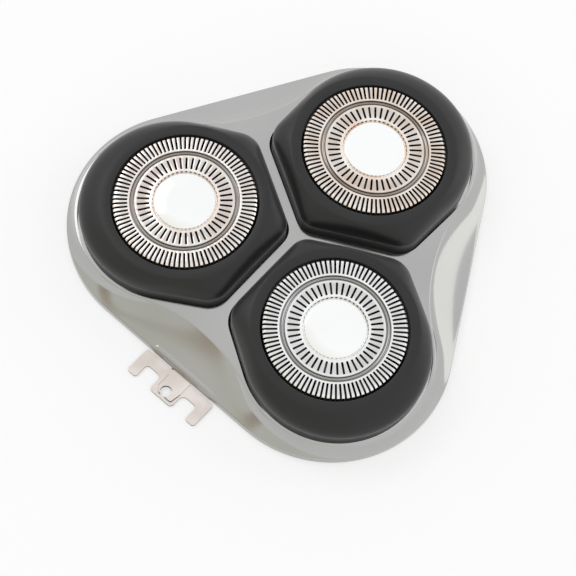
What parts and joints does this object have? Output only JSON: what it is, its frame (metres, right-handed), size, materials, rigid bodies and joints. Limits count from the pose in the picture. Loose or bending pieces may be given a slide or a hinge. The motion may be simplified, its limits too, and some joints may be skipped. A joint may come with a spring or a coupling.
{
  "type": "rotary shaver head",
  "caption": "Rounded-triangle shaver head unit with floating slotted cutting heads in black rings, a plated housing, a turn lock underneath and a swinging steel hinge plate",
  "frame": {"origin": "On the unit's three-fold axis, in the plane of the rim's lower face that seats on the shaver", "axes": "+Z is the shaving direction, +Y points to the head opposite the hinge, -Y is the hinged side, +X follows the right-hand rule"},
  "size_m": [0.0664, 0.0675, 0.0103],
  "materials": {
    "plated_housing": "satin metallic plating",
    "frame_plastic": "fine moulded",
    "knob_plastic": "fine moulded",
    "stamped_steel": "stamped satin",
    "pin_steel": "drawn",
    "ring_plastic": "satin moulded",
    "cap_steel": "polished",
    "disc_chrome": "bright",
    "carrier_plastic": "fine moulded",
    "cutter_steel": "ground",
    "hub_plastic": "fine moulded",
    "spring_steel": "drawn wire"
  },
  "bodies": {
    "base": {"housing": "plated_housing", "retaining_frame": "frame_plastic", "hinge_pin": "pin_steel", "head_springs_1": "spring_steel", "head_springs_2": "spring_steel", "head_springs_3": "spring_steel"},
    "lock": {"lock_knob": "knob_plastic"},
    "hinge": {"hinge_plate": "stamped_steel"},
    "head_1": {"head_ring_1": "ring_plastic", "shaving_cap_1": "cap_steel", "centre_disc_1": "disc_chrome", "head_carrier_1": "carrier_plastic"},
    "rotor_1": {"cutter_1": "cutter_steel", "drive_hub_1": "hub_plastic"},
    "head_2": {"head_ring_2": "ring_plastic", "shaving_cap_2": "cap_steel", "centre_disc_2": "disc_chrome", "head_carrier_2": "carrier_plastic"},
    "rotor_2": {"cutter_2": "cutter_steel", "drive_hub_2": "hub_plastic"},
    "head_3": {"head_ring_3": "ring_plastic", "shaving_cap_3": "cap_steel", "centre_disc_3": "disc_chrome", "head_carrier_3": "carrier_plastic"},
    "rotor_3": {"cutter_3": "cutter_steel", "drive_hub_3": "hub_plastic"}
  },
  "joints": [
    {"name": "head_tilt_1", "type": "hinge", "parent": "base", "child": "head_1", "pos_m": [0, 0.01715, 0.00322], "axis": [-1, 0, 0], "range_deg": [-3, 3], "stiffness_Nm_per_rad": 0.08, "deforming": ["head_springs_1"]},
    {"name": "cutter_spin_1", "type": "hinge", "parent": "head_1", "child": "rotor_1", "pos_m": [0, 0.01724, 0.00445], "axis": [0, 0.0698, 0.9976], "continuous": true},
    {"name": "head_tilt_2", "type": "hinge", "parent": "base", "child": "head_2", "pos_m": [-0.01486, -0.00858, 0.00322], "axis": [0.5, -0.866, 0], "range_deg": [-3, 3], "stiffness_Nm_per_rad": 0.08, "deforming": ["head_springs_2"]},
    {"name": "cutter_spin_2", "type": "hinge", "parent": "head_2", "child": "rotor_2", "pos_m": [-0.01493, -0.00862, 0.00445], "axis": [-0.0604, -0.0349, 0.9976], "continuous": true},
    {"name": "head_tilt_3", "type": "hinge", "parent": "base", "child": "head_3", "pos_m": [0.01486, -0.00858, 0.00322], "axis": [0.5, 0.866, 0], "range_deg": [-3, 3], "stiffness_Nm_per_rad": 0.08, "deforming": ["head_springs_3"]},
    {"name": "cutter_spin_3", "type": "hinge", "parent": "head_3", "child": "rotor_3", "pos_m": [0.01493, -0.00862, 0.00445], "axis": [0.0604, -0.0349, 0.9976], "continuous": true},
    {"name": "lock_turn", "type": "hinge", "parent": "base", "child": "lock", "pos_m": [0, 0, 0.0015], "axis": [0, 0, 1], "range_deg": [0, 90]},
    {"name": "hinge_swing", "type": "hinge", "parent": "base", "child": "hinge", "pos_m": [0.0014, -0.0264, 0.00062], "axis": [1, 0, 0], "range_deg": [0, 90]}
  ]
}
